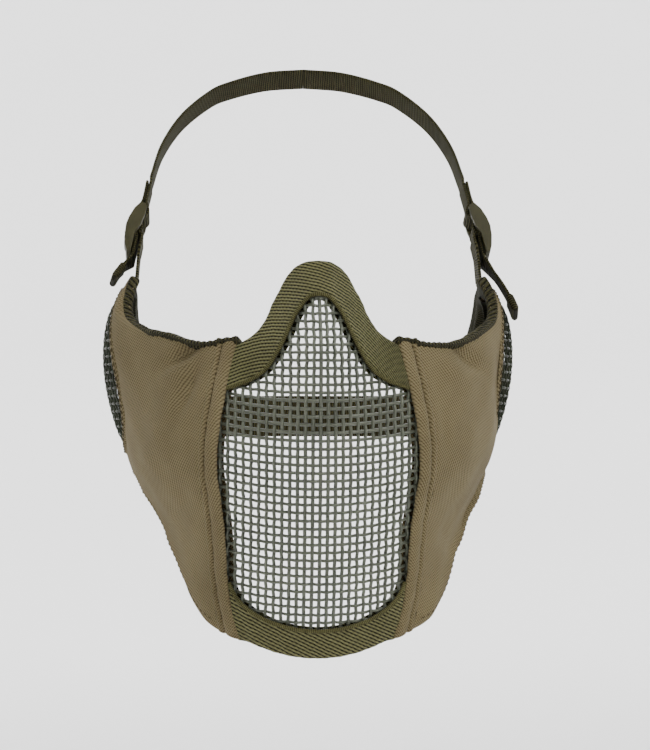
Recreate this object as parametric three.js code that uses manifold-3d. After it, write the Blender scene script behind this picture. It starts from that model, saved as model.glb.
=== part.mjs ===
// A lower-face mask for field games: a formed steel mesh front between two padded fabric wings,
// a wire mesh ear cover on each wing, and two straps behind the head. It is modelled as it is worn.
// Millimetres. The origin is the centre of the head between the ears, +Z is up, the mask faces -Y,
// and +X is the wearer's left. Outlines are given for the wearer's left and mirrored for the right.
import * as THREE from "three";
import { mergeVertices } from "three/addons/utils/BufferGeometryUtils.js";
import Module from "manifold-3d";

const wasm = await Module();
wasm.setup();

// ---- Driving dimensions ----

const GAP = 0.35; // clearance between pieces that touch

// The skin is the outer face of the mesh front. Height, half width at the ears, depth ahead of the ears.
const SECTION = [
  [-130, 61.6, 86],
  [-100, 64.6, 100],
  [-80, 66.1, 106.5],
  [-65, 69.1, 110],
  [-50, 76.1, 112.5],
  [-40, 80.6, 112.5],
  [-20, 83.6, 109],
  [0, 86.1, 100],
  [18, 86.6, 91],
  [28, 85.1, 87],
  [35, 82.1, 84.5],
  [42, 78.1, 82.5],
  [60, 74.6, 80],
];
const BACK_DEPTH = 100; // depth of the same section behind the ears

// The nose stands proud of the section: height, how far it stands out, half width of the ridge.
const NOSE = [
  [-60, 0, 24],
  [-30, 4, 23],
  [-8, 14, 18],
  [10, 23, 15],
  [28, 17, 13],
  [45, 9, 12],
  [60, 5, 12],
];

// Outlines in front view, from the centre line outwards or from the bottom up: x, z.
const NOSE_OUTER = [[0, 44.8], [5, 44.2], [9.5, 41.8], [12.6, 38], [15.4, 33], [18.6, 27],
  [21.2, 21], [24.6, 15.6], [29.4, 11.6], [35, 8.6], [42, 6]];
const NOSE_INNER = [[0, 30.2], [3.6, 29.2], [6.8, 25.8], [10.2, 20.4], [14, 12], [17.8, 4.8],
  [22.5, -1.8], [29, -6.2], [36, -8.8], [43, -10.8]];
const CHIN_INNER = [[0, -112.8], [8, -112.1], [14.5, -110.7], [21, -108.6], [27.5, -105.2],
  [32.6, -101], [35.8, -96.4], [37.6, -91], [38.6, -85]];
const CHIN_OUTER = [[0, -124.8], [8, -124.3], [16, -122.8], [23, -120.6], [30, -118],
  [35, -116.8], [38, -112], [40, -104], [41.5, -92]];
const HEM_FRONT = [[32, -117.6], [35.6, -104], [37.6, -90], [38.9, -70], [40.6, -57],
  [42.4, -43], [41.4, -27], [38.2, -9], [33.6, 11]];
const SEAM = [[40, -115], [42.8, -100], [44.5, -88], [45.6, -74], [47.4, -58], [49.3, -43],
  [48.9, -28], [45.8, -9], [41.8, 10.5]];

// Outlines of the wing beyond the seam: degrees round the head from the front, z.
const WING_TOP = [[36, 9.6], [42, 10.2], [48.5, 12], [55, 15], [62, 18.2], [67, 20.8],
  [70, 23.2], [72.3, 26.4], [75.5, 31.6], [79, 36.6], [83, 39.7], [88, 40.2], [94, 38.8]];
const WING_BOTTOM = [[43.5, -112.8], [48.5, -108.6], [54, -100], [59.5, -90], [65, -80], [71, -69],
  [77.5, -58], [85, -51], [93, -47]];
const WING_REAR = [[93, -47], [102, -42.5], [110, -34], [115.5, -20], [116, -4], [113.5, 12],
  [107, 25.5], [100.5, 34.4], [94, 38.8]];

const MESH_THICK = 1.8;
const MESH_UNDER_HEM = 5; // how far the mesh reaches in under the hem
const MESH_UNDER_TAPE = 3; // how far its edge stays inside the folded tape's outer edge
const TAPE_PROUD = 1.8;
const HEM_PROUD = 2.6;
const HEM_INSIDE = 4.6;
const SEAM_GAP = 3; // soft fold between the hem and the wing

// Layers of the wing from the outside in.
const CLOTH = 1.2;
const FOAM = 4.4;
const LINING = 1;
const BINDING_HEIGHT = 2.6;
const BINDING_PROUD = 0.7;

// The ear cover, an oval in side view, with a flange that the rim tape covers.
const EAR = { y: 0, z: -2, halfWidth: 28, halfHeight: 33, dome: 4.3, thick: 1.2 };
const EAR_FLANGE = 1.08; // size of the flange over the size of the opening
const EAR_RECESS = 1.13; // size of the hole in the outer cloth that takes the flange
const EAR_RIM = { from: 1.03, to: 1.15, thick: 0.8 };

// Webbing of the head strap and the ladder lock that adjusts it at each temple. A point of the
// lock is given outwards and up from its top bar, which the head strap loops round.
const WEB = { width: 15, thick: 1.2 };
const LOCK = {
  place: new THREE.Vector3(76, 6.4, 69.5),
  up: new THREE.Vector3(-0.2, 0.36, 0.91).normalize(),
  topBar: 1.7,
  middleBar: 1.6,
  middleAt: [1, -8.6],
  rail: 2.2,
  railProfile: [[-1, 2.2], [1.2, 2.3], [3.4, -1], [5, -6], [5.6, -10], [5.1, -15], [3.8, -20],
    [2.7, -22.4], [0.9, -22.4], [0.8, -13], [-0.9, -9], [-1.9, -3], [-1.9, 1]],
  lipProfile: [[0.9, -22.4], [2.7, -22.4], [3.8, -20], [4.4, -16.5], [3.6, -13.2], [0.9, -13.2]],
};
const TEMPLE_WEB_DEG = 89; // where it leaves the top of the wing, between foam and lining
const TAIL = {
  from: -20.4,
  bend: [-0.15, -22.8],
  left: { length: 30, swing: 21 },
  right: { length: 13.5, swing: 34 },
  endThick: 3.2,
  endLength: 8,
};
const HEAD_STRAP = [[71.6, 14.2, 87], [67, 23, 101], [58, 32, 115], [45, 40.5, 126.5],
  [35, 44.3, 131.3], [18, 48.4, 136], [0, 49.6, 137.5]];
const HEAD_STRAP_ACROSS = new THREE.Vector3(0, -0.86, 0.51); // direction of its width at the crown
const HEAD_STRAP_RETURN = 15; // length of the end sewn back on itself above the lock

// The neck strap starts on the wing's outer face and runs level round the back of the neck.
const NECK = {
  width: 20,
  thick: 1.4,
  z: -24,
  lean: 0.14, // how far its face leans out towards the top, where it lies on the wing
  sewnDeg: [110, 116],
  run: [[71.5, 56], [60, 75], [39, 90], [16, 96], [0, 97]],
};

// ---- Curves and the skin ----

// A smooth value from a table whose first column is the height.
function along(table, column, z) {
  const last = table.length - 1;
  const at = Math.min(Math.max(z, table[0][0]), table[last][0]);
  let i = 0;
  while (i < last - 1 && at > table[i + 1][0]) i++;
  const [a, b] = [table[i], table[i + 1]];
  const step = b[0] - a[0];
  const slope = (k) => {
    const [p, q] = [table[Math.max(k - 1, 0)], table[Math.min(k + 1, last)]];
    return (q[column] - p[column]) / (q[0] - p[0]);
  };
  const u = (at - a[0]) / step;
  return (
    (2 * u ** 3 - 3 * u ** 2 + 1) * a[column] +
    (u ** 3 - 2 * u ** 2 + u) * step * slope(i) +
    (3 * u ** 2 - 2 * u ** 3) * b[column] +
    (u ** 3 - u ** 2) * step * slope(i + 1)
  );
}

const radians = THREE.MathUtils.degToRad;
const mix = THREE.MathUtils.lerp;
const halfWidth = (z) => along(SECTION, 1, z);

// The skin at an angle round the head and a height.
function skin(angle, z) {
  const x = halfWidth(z) * Math.sin(angle);
  const forward = Math.cos(angle);
  const depth = forward > 0 ? along(SECTION, 2, z) : BACK_DEPTH;
  const ridge = forward > 0 ? along(NOSE, 1, z) * Math.exp(-((x / along(NOSE, 2, z)) ** 2)) : 0;
  return new THREE.Vector3(x, -depth * forward - ridge, z);
}

// A point off the skin, outwards by out.
function offSkin(angle, z, out) {
  const round = skin(angle + 0.01, z).sub(skin(angle - 0.01, z));
  const up = skin(angle, z + 1).sub(skin(angle, z - 1));
  return skin(angle, z).addScaledVector(round.cross(up).normalize(), out);
}

// The angle round the head of a point at the side with this y.
const angleAtDepth = (y, z) => Math.acos(-y / (y < 0 ? along(SECTION, 2, z) : BACK_DEPTH));

// Outlines are functions from 0 to 1 to [angle, z].
function frontOutline(points) {
  const curve = new THREE.SplineCurve(points.map(([x, z]) => new THREE.Vector2(x, z)));
  return (s) => {
    const p = curve.getPointAt(s);
    return [Math.asin(p.x / halfWidth(p.y)), p.y];
  };
}
function roundOutline(points) {
  const scale = halfWidth(0); // keeps the two coordinates alike for the spacing of the points
  const curve = new THREE.SplineCurve(points.map(([angle, z]) => new THREE.Vector2(angle * scale, z)));
  return (s) => {
    const p = curve.getPointAt(s);
    return [p.x / scale, p.y];
  };
}
const inRadians = (points) => points.map(([deg, z]) => [radians(deg), z]);

// The same outline on both sides of the centre line, from the right end to the left end.
const bothSides = (outline) => (s) => {
  const [angle, z] = outline(Math.abs(2 * s - 1));
  return [s < 0.5 ? -angle : angle, z];
};
// An outline moved by a distance round the head and a distance up.
const shifted = (outline, round, up) => (s) => {
  const [angle, z] = outline(s);
  return [angle + round / halfWidth(z), z + up];
};

// Patches map u, which runs round the head, and v, which runs up, to [angle, z].
function patchBetween(bottom, top, front, rear) {
  const blend = (p, q, t) => p.map((value, k) => mix(value, q[k], t));
  return (u, v) => {
    const sides = blend(front(v), rear(v), u);
    const ends = blend(bottom(u), top(u), v);
    const corners = blend(blend(bottom(0), bottom(1), u), blend(top(0), top(1), u), v);
    return ends.map((value, k) => value + sides[k] - corners[k]);
  };
}
const levelStrip = (low, high) => (u, v) => low(u).map((value, k) => mix(value, high(u)[k], v));
const uprightStrip = (near, far) => (u, v) => near(v).map((value, k) => mix(value, far(v)[k], u));

// ---- Solids ----

function facingOut(positions, triangles) {
  const volume = triangles.reduce((sum, t) => {
    const [a, b, c] = t.map((i) => positions[i]);
    return sum + a.dot(new THREE.Vector3().crossVectors(b, c));
  }, 0);
  const turned = volume < 0 ? triangles.map(([a, b, c]) => [a, c, b]) : triangles;
  return new THREE.BufferGeometry()
    .setAttribute("position", new THREE.Float32BufferAttribute(positions.flatMap((p) => p.toArray()), 3))
    .setIndex(turned.flat());
}

function solidOf(geometry) {
  const plain = geometry.clone().deleteAttribute("normal").deleteAttribute("uv");
  const merged = mergeVertices(plain, 1e-4);
  return new wasm.Manifold(
    new wasm.Mesh({
      numProp: 3,
      vertProperties: merged.attributes.position.array,
      triVerts: new Uint32Array(merged.index.array),
    }),
  );
}

function geometryFrom(solid) {
  const mesh = solid.getMesh();
  return new THREE.BufferGeometry()
    .setAttribute("position", new THREE.BufferAttribute(new Float32Array(mesh.vertProperties), 3))
    .setIndex(new THREE.BufferAttribute(new Uint32Array(mesh.triVerts), 1));
}

const cut = (geometry, ...tools) =>
  geometryFrom(tools.reduce((solid, tool) => solid.subtract(solidOf(tool)), solidOf(geometry)));
const join = (...geometries) => geometryFrom(geometries.map(solidOf).reduce((a, b) => a.add(b)));

function mirrorX(geometry) {
  const flipped = geometry.clone().scale(-1, 1, 1);
  const index = flipped.index.array;
  for (let i = 0; i < index.length; i += 3) [index[i + 1], index[i + 2]] = [index[i + 2], index[i + 1]];
  return flipped;
}

// A closed solid between two layers of rows of points. A closed loop of rows has no end walls.
function layered(outer, inner, loop = false) {
  const rows = outer.length;
  const across = outer[0].length;
  const at = (layer, i, j) => (layer * rows + (i % rows)) * across + j;
  const triangles = [];
  const quad = (a, b, c, d) => triangles.push([a, b, c], [a, c, d]);
  for (let i = 0; i < (loop ? rows : rows - 1); i++) {
    for (let j = 0; j < across - 1; j++) {
      quad(at(0, i, j), at(0, i + 1, j), at(0, i + 1, j + 1), at(0, i, j + 1));
      quad(at(1, i, j), at(1, i, j + 1), at(1, i + 1, j + 1), at(1, i + 1, j));
    }
    quad(at(0, i, 0), at(1, i, 0), at(1, i + 1, 0), at(0, i + 1, 0));
    quad(at(0, i, across - 1), at(0, i + 1, across - 1), at(1, i + 1, across - 1), at(1, i, across - 1));
  }
  for (let j = 0; !loop && j < across - 1; j++) {
    quad(at(0, 0, j), at(0, 0, j + 1), at(1, 0, j + 1), at(1, 0, j));
    quad(at(0, rows - 1, j), at(1, rows - 1, j), at(1, rows - 1, j + 1), at(0, rows - 1, j + 1));
  }
  return facingOut([...outer.flat(), ...inner.flat()], triangles);
}

// A slab that follows the skin over a patch, from one distance off it to another.
function slab(patch, countU, countV, outer, inner) {
  const layer = (out) =>
    Array.from({ length: countU + 1 }, (_, i) =>
      Array.from({ length: countV + 1 }, (_, j) => offSkin(...patch(i / countU, j / countV), out)),
    );
  return layered(layer(outer), layer(inner));
}

// Flat webbing along a line of points { at, across, thick }.
function webbing(line, width) {
  const sections = line.map(({ at, across, thick }, i) => {
    const tangent = line[Math.min(i + 1, line.length - 1)].at.clone();
    tangent.sub(line[Math.max(i - 1, 0)].at).normalize();
    const side = across.clone().addScaledVector(tangent, -across.dot(tangent)).normalize();
    const face = new THREE.Vector3().crossVectors(side, tangent);
    const corner = (s, f) =>
      at.clone().addScaledVector(side, (s * width) / 2).addScaledVector(face, (f * thick) / 2);
    return [corner(-1, 1), corner(1, 1), corner(-1, -1), corner(1, -1)];
  });
  return layered(
    sections.map((corners) => corners.slice(0, 2)),
    sections.map((corners) => corners.slice(2)),
  );
}

// ---- Materials and nodes ----

const cloth = (colour) => new THREE.MeshStandardMaterial({ color: colour, roughness: 0.9, metalness: 0 });
const MATERIALS = {
  tan: cloth(0x85755a),
  webbing: cloth(0x6a6645),
  binding: cloth(0x3f4228),
  lining: cloth(0x2f3320),
  foam: cloth(0x3a3a34),
  mesh: new THREE.MeshStandardMaterial({ color: 0x6d7068, roughness: 0.45, metalness: 0.6 }),
  plastic: new THREE.MeshStandardMaterial({ color: 0x454630, roughness: 0.5, metalness: 0 }),
};

const mask = new THREE.Group();

function add(name, geometry, material) {
  const mesh = new THREE.Mesh(geometry, MATERIALS[material]);
  mesh.name = name;
  mask.add(mesh);
}
function addPair(name, geometry, material) {
  add("left_" + name, geometry, material);
  add("right_" + name, mirrorX(geometry), material);
}

// ---- Front: steel mesh, its two edge tapes and the hems of the wings ----

const hemFront = frontOutline(HEM_FRONT);
const seam = frontOutline(SEAM);
const noseInner = bothSides(frontOutline(NOSE_INNER));
const noseOuter = bothSides(frontOutline(NOSE_OUTER));
const chinInner = bothSides(frontOutline(CHIN_INNER));
const chinOuter = bothSides(frontOutline(CHIN_OUTER));

// The mesh panel ends inside the folded tapes and under the hems.
const meshSide = (v) => shifted(hemFront, MESH_UNDER_HEM, 0)(mix(0.04, 0.96, v));
function meshEdge(points, up, corner) {
  const inside = points.filter(([x]) => x < 30).map(([x, z]) => [x, z + up]);
  const [angle, z] = corner;
  return bothSides(frontOutline([...inside, [halfWidth(z) * Math.sin(angle), z]]));
}
const meshLeft = (v) => meshSide(v);
const meshRight = (v) => [-meshSide(v)[0], meshSide(v)[1]];
const meshPatch = patchBetween(
  meshEdge(CHIN_OUTER, MESH_UNDER_TAPE, meshSide(0)),
  meshEdge(NOSE_OUTER, -MESH_UNDER_TAPE, meshSide(1)),
  meshRight,
  meshLeft,
);
const meshPatchInset = (u, v) => meshPatch(mix(0.005, 0.995, u), mix(0.003, 0.997, v));
const meshRoom = slab(meshPatch, 24, 18, GAP, -MESH_THICK - GAP);

const hemPatch = uprightStrip(hemFront, seam);
const hemRoomStrip = uprightStrip(shifted(hemFront, -2 * GAP, 0), shifted(seam, 8, 0));
const hemRoomPatch = (u, v) => hemRoomStrip(u, v).map((value, k) => value + k * mix(-2, 2, v));
const hemRoom = slab(hemRoomPatch, 3, 18, HEM_PROUD + 4, -HEM_INSIDE - 4);

function edgeTape(low, high, count) {
  const band = slab(levelStrip(low, high), count, 3, TAPE_PROUD, -MESH_THICK - TAPE_PROUD);
  return cut(band, meshRoom, hemRoom, mirrorX(hemRoom));
}

add("front_mesh", slab(meshPatchInset, 24, 18, 0, -MESH_THICK), "mesh");
add("nose_tape", edgeTape(noseInner, noseOuter, 36), "webbing");
add("chin_tape", edgeTape(chinOuter, chinInner, 26), "webbing");
addPair("hem", cut(slab(hemPatch, 2, 18, HEM_PROUD, -HEM_INSIDE), meshRoom), "tan");

// ---- Wings: outer cloth, foam and lining, the binding along the top ----

const wingFront = shifted(seam, SEAM_GAP, 0);
const wingTop = roundOutline([wingFront(1), ...inRadians(WING_TOP)]);
const wingTopUnderBinding = shifted(wingTop, 0, -BINDING_HEIGHT - 2 * GAP);
const wingBottom = roundOutline([wingFront(0), ...inRadians(WING_BOTTOM)]);
const wingRear = roundOutline(inRadians(WING_REAR));
const upTo = (outline, end) => (v) => {
  const [angle, z] = outline(v);
  const [lastAngle, lastZ] = outline(1);
  return [angle + (end[0] - lastAngle) * v ** 4, z + (end[1] - lastZ) * v ** 4];
};
const wingPatch = patchBetween(
  wingBottom,
  wingTopUnderBinding,
  upTo(wingFront, wingTopUnderBinding(0)),
  upTo(wingRear, wingTopUnderBinding(1)),
);

// An oval prism through the wing, as a share of the ear opening.
function earPrism(share) {
  const prism = new THREE.CylinderGeometry(1, 1, 60, 40);
  prism.rotateZ(Math.PI / 2).scale(1, EAR.halfHeight * share, EAR.halfWidth * share);
  const position = prism.attributes.position;
  for (let i = 0; i < position.count; i++) {
    const [along, up, across] = [position.getX(i), position.getY(i), position.getZ(i)];
    position.setXYZ(i, along + halfWidth(EAR.z), across + EAR.y, up + EAR.z);
  }
  return facingOut(
    Array.from({ length: position.count }, (_, i) => new THREE.Vector3().fromBufferAttribute(position, i)),
    Array.from({ length: prism.index.count / 3 }, (_, i) => [...prism.index.array.slice(3 * i, 3 * i + 3)]),
  );
}

const layers = [
  ["shell", CLOTH, "tan"],
  ["foam", FOAM, "foam"],
  ["lining", LINING, "lining"],
];
let outside = HEM_PROUD;
for (const [name, thick, material] of layers) {
  const hole = earPrism(name === "shell" ? EAR_RECESS : 1);
  addPair(name, cut(slab(wingPatch, 14, 12, outside, outside - thick), hole), material);
  outside -= thick + GAP;
}
const wingInside = outside + GAP;

const bindingPatch = levelStrip(shifted(wingTop, 0, -BINDING_HEIGHT), wingTop);
function wingTopAt(angle) {
  const steps = Array.from({ length: 200 }, (_, i) => wingTop(i / 199));
  const [, z] = steps.find(([a]) => a > angle);
  return offSkin(angle, z + GAP + 0.3, (HEM_PROUD + wingInside) / 2);
}
const bindingOffsets = [HEM_PROUD + BINDING_PROUD, wingInside - BINDING_PROUD];
addPair("binding", slab(bindingPatch, 26, 1, ...bindingOffsets), "binding");

// ---- Ear covers: a domed mesh with a flange, and a rim tape over the flange ----

// The skin's point for a place in the ear oval, in shares of the opening.
function earPoint(side, up, out) {
  const z = EAR.z + EAR.halfHeight * up;
  return offSkin(angleAtDepth(EAR.y + EAR.halfWidth * side, z), z, out);
}
function earDome() {
  const count = 12;
  const layer = (drop) =>
    Array.from({ length: count + 1 }, (_, i) =>
      Array.from({ length: count + 1 }, (_, j) => {
        const [a, b] = [(2 * i) / count - 1, (2 * j) / count - 1];
        const [side, up] = [a * Math.sqrt(1 - b ** 2 / 2), b * Math.sqrt(1 - a ** 2 / 2)];
        const radius = Math.hypot(side, up) * EAR_FLANGE;
        const bulge = radius < 1 ? EAR.dome * (1 - radius ** 2) ** 0.7 : 0;
        return earPoint(side * EAR_FLANGE, up * EAR_FLANGE, HEM_PROUD + bulge - drop);
      }),
    );
  return layered(layer(0), layer(EAR.thick));
}
function earRim() {
  const count = 36;
  const shares = [EAR_RIM.from, (EAR_RIM.from + EAR_RIM.to) / 2, EAR_RIM.to];
  const layer = (out) =>
    Array.from({ length: count }, (_, i) => {
      const turn = (2 * Math.PI * i) / count;
      return shares.map((share) => earPoint(share * Math.cos(turn), share * Math.sin(turn), out));
    });
  const inside = HEM_PROUD + 2 * GAP;
  return layered(layer(inside + EAR_RIM.thick), layer(inside), true);
}

addPair("ear_mesh", earDome(), "mesh");
addPair("ear_rim", earRim(), "tan");

// ---- Ladder locks, the webbing between wing and lock, and the free tails ----

const lockOut = new THREE.Vector3(1, 0, 0).addScaledVector(LOCK.up, -LOCK.up.x).normalize();
const lockAcross = new THREE.Vector3().crossVectors(lockOut, LOCK.up);
const atLock = ([out, up]) => LOCK.place.clone().addScaledVector(lockOut, out).addScaledVector(LOCK.up, up);

function lockPiece(profile, from, to) {
  const shape = new THREE.Shape(profile.map(([x, y]) => new THREE.Vector2(x, y)));
  return new THREE.ExtrudeGeometry(shape, { depth: to - from, bevelEnabled: false }).translate(0, 0, from);
}
function lock() {
  const inside = WEB.width / 2 + 0.6;
  const outside = inside + LOCK.rail;
  const circle = (centre, radius) =>
    Array.from({ length: 16 }, (_, i) => {
      const turn = (2 * Math.PI * i) / 16;
      return [centre[0] + radius * Math.cos(turn), centre[1] + radius * Math.sin(turn)];
    });
  const rails = [[inside, outside], [-outside, -inside]].map(([from, to]) => lockPiece(LOCK.railProfile, from, to));
  const reach = inside + 0.4;
  const bars = [circle([0, 0], LOCK.topBar), circle(LOCK.middleAt, LOCK.middleBar), LOCK.lipProfile];
  const frame = new THREE.Matrix4().makeBasis(lockOut, LOCK.up, lockAcross).setPosition(LOCK.place);
  return join(...rails, ...bars.map((profile) => lockPiece(profile, -reach, reach))).applyMatrix4(frame);
}

// Points round a bar of the lock, at the middle of webbing that lies on it.
function round(centre, bar, fromDeg, toDeg, count) {
  const radius = bar + GAP + WEB.thick / 2;
  return Array.from({ length: count + 1 }, (_, i) => {
    const turn = radians(mix(fromDeg, toDeg, i / count));
    return [centre[0] + radius * Math.cos(turn), centre[1] + radius * Math.sin(turn)];
  });
}
const webLine = (points, across = lockAcross) => points.map((at) => ({ at, across, thick: WEB.thick }));

function templeWeb() {
  const start = wingTopAt(radians(TEMPLE_WEB_DEG));
  const behind = [[-2.6, -20.5], [-2.4, -15.5], [-2.1, -11.6]];
  const under = [[0.4, -12.1], [-0.15, -13.6], [-0.15, -20]];
  const inLock = [...behind, ...round(LOCK.middleAt, LOCK.middleBar, 270 - 20, -20, 12), ...under];
  return webbing(webLine([start, ...inLock.map(atLock)]), WEB.width);
}

function tail({ length, swing }) {
  const turn = radians(swing);
  const point = (run) => atLock([TAIL.bend[0] + run * Math.sin(turn), TAIL.bend[1] - run * Math.cos(turn)]);
  const body = length - TAIL.endLength;
  const line = [
    [atLock([TAIL.bend[0], TAIL.from]), WEB.thick],
    [atLock(TAIL.bend), WEB.thick],
    [point(body), WEB.thick],
    [point(body + 0.6), TAIL.endThick],
    [point(length), TAIL.endThick],
  ];
  return webbing(line.map(([at, thick]) => ({ at, across: lockAcross, thick })), WEB.width);
}

addPair("lock", lock(), "plastic");
addPair("temple_web", templeWeb(), "webbing");
add("left_tail", tail(TAIL.left), "webbing");
add("right_tail", mirrorX(tail(TAIL.right)), "webbing");

// ---- Straps ----

const mirroredLine = (line) =>
  line.map(({ at, across, thick }) => ({
    at: at.clone().multiply(new THREE.Vector3(-1, 1, 1)),
    across: across.clone().multiply(new THREE.Vector3(-1, 1, 1)),
    thick,
  }));
const wholeStrap = (half) => [...half, ...mirroredLine(half.slice(0, -1)).reverse()];

function headStrap() {
  const ply = (GAP + WEB.thick) / 2;
  const roundBar = round([0, 0], LOCK.topBar, 25, -205, 14);
  const loop = [[ply, HEAD_STRAP_RETURN], [ply, 5], ...roundBar, [-ply, 5], [-ply, 12]];
  const curve = new THREE.CatmullRomCurve3([
    atLock([-ply, HEAD_STRAP_RETURN + 1]),
    ...HEAD_STRAP.map((p) => new THREE.Vector3(...p)),
  ]);
  const run = curve.getSpacedPoints(20).map((at, i) => ({
    at,
    across: lockAcross.clone().lerp(HEAD_STRAP_ACROSS, i / 20),
    thick: WEB.thick,
  }));
  return webbing(wholeStrap([...webLine(loop.map(atLock)), ...run]), WEB.width);
}

function neckStrap() {
  const out = HEM_PROUD + 2 * GAP + NECK.thick / 2;
  const sewn = [0, 0.5, 1].map((t) => offSkin(radians(mix(...NECK.sewnDeg, t)), NECK.z, out));
  const run = NECK.run.map(([x, y]) => new THREE.Vector3(x, y, NECK.z));
  const points = new THREE.CatmullRomCurve3([...sewn, ...run]).getSpacedPoints(22);
  const half = points.map((at, i) => ({
    at,
    across: new THREE.Vector3(mix(NECK.lean, 0, i / 22), 0, 1),
    thick: NECK.thick,
  }));
  return webbing(wholeStrap(half), NECK.width);
}

add("head_strap", headStrap(), "webbing");
add("neck_strap", neckStrap(), "webbing");

export default mask;
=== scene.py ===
"""The looks of a half-face mask: woven wire front, padded twill wings, ear covers, webbing and locks."""

import math

import bmesh
import bpy
import numpy as np
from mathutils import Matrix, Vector


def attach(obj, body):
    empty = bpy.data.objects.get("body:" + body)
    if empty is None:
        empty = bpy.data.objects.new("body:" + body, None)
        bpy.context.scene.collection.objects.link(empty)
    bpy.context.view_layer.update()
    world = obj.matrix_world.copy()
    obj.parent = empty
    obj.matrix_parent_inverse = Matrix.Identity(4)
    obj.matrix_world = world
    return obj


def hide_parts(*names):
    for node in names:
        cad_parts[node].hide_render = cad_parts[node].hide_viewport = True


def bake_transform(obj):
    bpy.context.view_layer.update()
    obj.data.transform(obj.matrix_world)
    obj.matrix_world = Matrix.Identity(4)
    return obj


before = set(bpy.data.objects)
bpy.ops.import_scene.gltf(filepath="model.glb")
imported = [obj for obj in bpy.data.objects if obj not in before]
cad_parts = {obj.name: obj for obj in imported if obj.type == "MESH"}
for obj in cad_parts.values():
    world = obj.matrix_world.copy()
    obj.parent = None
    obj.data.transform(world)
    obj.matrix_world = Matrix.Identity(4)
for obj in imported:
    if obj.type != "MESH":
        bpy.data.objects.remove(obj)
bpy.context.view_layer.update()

# ---- Dimensions, in millimetres, the same as the CAD part's ----

SECTION = np.array([
    [-130, 61.6, 86], [-100, 64.6, 100], [-80, 66.1, 106.5], [-65, 69.1, 110], [-50, 76.1, 112.5],
    [-40, 80.6, 112.5], [-20, 83.6, 109], [0, 86.1, 100], [18, 86.6, 91], [28, 85.1, 87],
    [35, 82.1, 84.5], [42, 78.1, 82.5], [60, 74.6, 80],
])  # height, half width at the ears, depth ahead of the ears
BACK_DEPTH = 100
NOSE = np.array([
    [-60, 0, 24], [-30, 4, 23], [-8, 14, 18], [10, 23, 15], [28, 17, 13], [45, 9, 12], [60, 5, 12],
])  # height, how far the nose stands out, half width of its ridge

# Outlines in front view, from the centre line outwards or from the bottom up: x, z.
NOSE_OUTER = [(0, 44.8), (5, 44.2), (9.5, 41.8), (12.6, 38), (15.4, 33), (18.6, 27), (21.2, 21),
              (24.6, 15.6), (29.4, 11.6), (35, 8.6), (42, 6)]
NOSE_INNER = [(0, 30.2), (3.6, 29.2), (6.8, 25.8), (10.2, 20.4), (14, 12), (17.8, 4.8), (22.5, -1.8),
              (29, -6.2), (36, -8.8), (43, -10.8)]
CHIN_INNER = [(0, -112.8), (8, -112.1), (14.5, -110.7), (21, -108.6), (27.5, -105.2), (32.6, -101),
              (35.8, -96.4), (37.6, -91), (38.6, -85)]
CHIN_OUTER = [(0, -124.8), (8, -124.3), (16, -122.8), (23, -120.6), (30, -118), (35, -116.8),
              (38, -112), (40, -104), (41.5, -92)]
HEM_FRONT = [(32, -117.6), (35.6, -104), (37.6, -90), (38.9, -70), (40.6, -57), (42.4, -43),
             (41.4, -27), (38.2, -9), (33.6, 11)]
SEAM = [(40, -115), (42.8, -100), (44.5, -88), (45.6, -74), (47.4, -58), (49.3, -43), (48.9, -28),
        (45.8, -9), (41.8, 10.5)]

# Outlines of the wing beyond the seam: degrees round the head from the front, z.
WING_TOP = [(36, 9.6), (42, 10.2), (48.5, 12), (55, 15), (62, 18.2), (67, 20.8), (70, 23.2),
            (72.3, 26.4), (75.5, 31.6), (79, 36.6), (83, 39.7), (88, 40.2), (94, 38.8)]
TOP_LIFT = {"left": 0, "right": 3.0}  # how much the top edge is rucked up over the cheek
WING_BOTTOM = [(43.5, -112.8), (48.5, -108.6), (54, -100), (59.5, -90), (65, -80), (71, -69),
               (77.5, -58), (85, -51), (93, -47)]
WING_REAR = [(93, -47), (102, -42.5), (110, -34), (115.5, -20), (116, -4), (113.5, 12), (107, 25.5),
             (100.5, 34.4), (94, 38.8)]

HEM_PROUD = 2.6  # outer face of hems and wings over the skin
HEM_INSIDE = 4.6
CLOTH_INSIDE = 3.5  # inner face of the padded wing
LINING_INSIDE = 4.7
BINDING_HEIGHT = 2.6

WIRES = (1.6, 1.4)  # diameters of the upright and level wires
WIRE_PITCH = (3.27, 3.4)  # across and up
ROW_DROOP = 4.0  # how far the rows of the front mesh hang in the middle

EAR = {"y": 0, "z": -2, "half_width": 28, "half_height": 33, "dome": 5.9}
EAR_WIRES = (1.1, 1.1)
EAR_PITCH = 3.5

WEB_WIDTH = 15
WEB_THICK = 1.2
TAIL_FOLD = 8  # of folded end on each tail
LOCK_PLACE = np.array([76, 6.4, 69.5])
LOCK_UP = np.array([-0.2, 0.36, 0.91])
LIP_Z = 49.4  # of the locks' lowest edge
MIDDLE_BAR = (1, -8.6)
TOP_RADIUS = 1.7 + 0.35 + WEB_THICK / 2  # of webbing round the lock's top bar
MIDDLE_RADIUS = 1.6 + 0.35 + WEB_THICK / 2
TEMPLE_WEB_DEG = 89
TAILS = {"left": (30, 21), "right": (13.5, 34)}  # length, degrees it stands out from the lock
HEAD_STRAP = [(71.6, 14.2, 87), (67, 23, 101), (58, 32, 115), (45, 40.5, 126.5), (35, 44.3, 131.3),
              (18, 48.4, 136), (0, 49.6, 137.5)]
NECK_RUN = [(71.5, 56), (60, 75), (39, 90), (16, 96), (0, 97)]
NECK_Z = -24
NECK_DEG = (110, 116)

# ---- The skin, the outer face of the front mesh ----


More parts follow.
